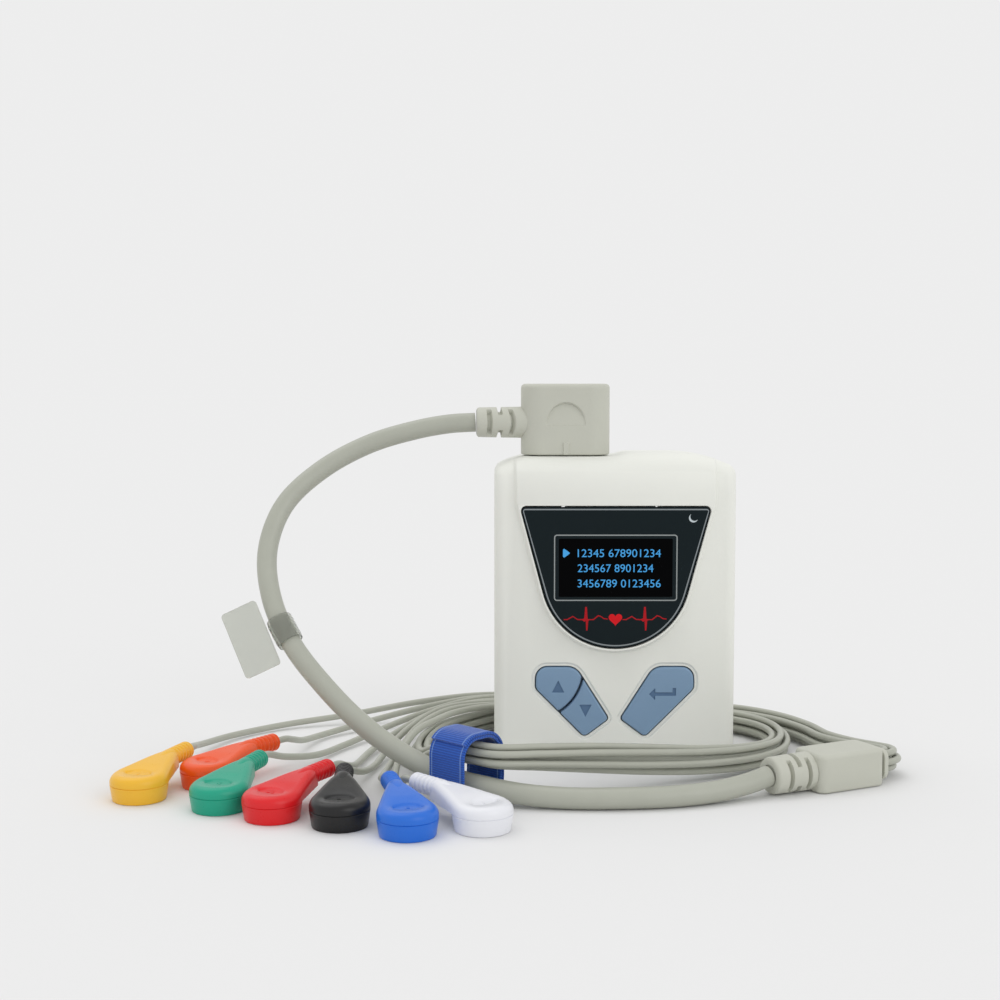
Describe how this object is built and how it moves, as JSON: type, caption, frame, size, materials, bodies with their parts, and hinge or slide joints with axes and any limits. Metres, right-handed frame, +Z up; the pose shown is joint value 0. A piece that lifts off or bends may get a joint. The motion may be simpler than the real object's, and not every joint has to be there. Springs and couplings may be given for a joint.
{
  "type": "holter monitor",
  "caption": "Pocket heart recorder with shield-shaped window, keys, top cable plug, trunk cord, yoke, coiled leads and coloured snap heads.",
  "frame": {"origin": "middle of the recorder's base, on the surface it stands on", "axes": "+Z up through the recorder to its cable plug, -Y out of its window and keys, +X to the right seen from the front"},
  "size_m": [0.1913, 0.1196, 0.0969],
  "materials": {
    "case_white": "fine moulded grain, satin",
    "window_dark": "tinted clear pane, polished",
    "screen": "black display panel",
    "clear_lens": "clear light pipe",
    "key_blue": "satin key tops",
    "cable_grey": "satin overmould",
    "cord_grey": "smooth flexible jacket",
    "clear_film": "clear heat-shrunk film",
    "strap_blue": "hook-and-loop tape",
    "steel": "nickel plated",
    "plug_shell": "plated plug shell",
    "gold": "gold plated contact blade",
    "board_green": "solder mask",
    "chip_black": "moulded package",
    "tray_black": "moulded inner frame",
    "silicone": "silicone sheet",
    "seal_rubber": "sealing ring",
    "cell_can": "plain printed sleeve on a metal can",
    "head_yellow": "satin snap cap",
    "head_orange": "satin snap cap",
    "head_green": "satin snap cap",
    "head_red": "satin snap cap",
    "head_black": "satin snap cap",
    "head_blue": "satin snap cap",
    "head_white": "satin snap cap"
  },
  "bodies": {
    "recorder": {"front_shell": "case_white", "rear_shell": "case_white", "case_seal": "seal_rubber", "display_window": "window_dark", "display_module": "screen", "light_lens": "clear_lens", "key_mat": "silicone", "dome_sheet": "steel", "main_board": "board_green", "processor_chip": "chip_black", "buzzer": "chip_black", "card_socket": "steel", "memory_card": "chip_black", "battery_tray": "tray_black", "battery_1": "cell_can", "battery_2": "cell_can", "battery_contact_1": "steel", "battery_contact_2": "steel", "door_pin": "steel", "cable_socket": "tray_black", "socket_blade": "gold", "trunk_cord": "cord_grey", "tag_sleeve": "clear_film", "tag_flag": "clear_film", "yoke_boot": "cable_grey", "yoke_block": "cable_grey", "lead_grommet": "cable_grey", "cable_strap": "strap_blue", "case_screw_1": "steel", "case_screw_2": "steel", "case_screw_3": "steel", "case_screw_4": "steel", "lead_1_yellow": "cord_grey", "lead_2_orange": "cord_grey", "lead_3_green": "cord_grey", "lead_4_red": "cord_grey", "lead_5_black": "cord_grey", "lead_6_blue": "cord_grey", "lead_7_white": "cord_grey", "snap_head_1_yellow": "head_yellow", "snap_head_2_orange": "head_orange", "snap_head_3_green": "head_green", "snap_head_4_red": "head_red", "snap_head_5_black": "head_black", "snap_head_6_blue": "head_blue", "snap_head_7_white": "head_white", "snap_socket_1": "steel", "snap_socket_2": "steel", "snap_socket_3": "steel", "snap_socket_4": "steel", "snap_socket_5": "steel", "snap_socket_6": "steel", "snap_socket_7": "steel"},
    "button_up": {"button_up": "key_blue"},
    "button_down": {"button_down": "key_blue"},
    "button_enter": {"button_enter": "key_blue"},
    "plug": {"plug_hood": "cable_grey", "plug_insert": "plug_shell", "plug_boot": "cable_grey"},
    "battery_door": {"battery_door": "case_white"}
  },
  "joints": [
    {"name": "button_up_press", "type": "slide", "parent": "recorder", "child": "button_up", "axis": [0, 1, 0], "range_m": [0, 0.0005], "stiffness_N_per_m": 400, "springref_m": -0.0005},
    {"name": "button_down_press", "type": "slide", "parent": "recorder", "child": "button_down", "axis": [0, 1, 0], "range_m": [0, 0.0005], "stiffness_N_per_m": 400, "springref_m": -0.0005},
    {"name": "button_enter_press", "type": "slide", "parent": "recorder", "child": "button_enter", "axis": [0, 1, 0], "range_m": [0, 0.0005], "stiffness_N_per_m": 400, "springref_m": -0.0005},
    {"name": "plug_slide", "type": "slide", "parent": "recorder", "child": "plug", "axis": [0, 0, 1], "range_m": [0, 0.009]},
    {"name": "battery_door_hinge", "type": "hinge", "parent": "recorder", "child": "battery_door", "pos_m": [-0.0146, 0.0105, 0.0383], "axis": [0, 0, 1], "range_deg": [0, 100]}
  ]
}
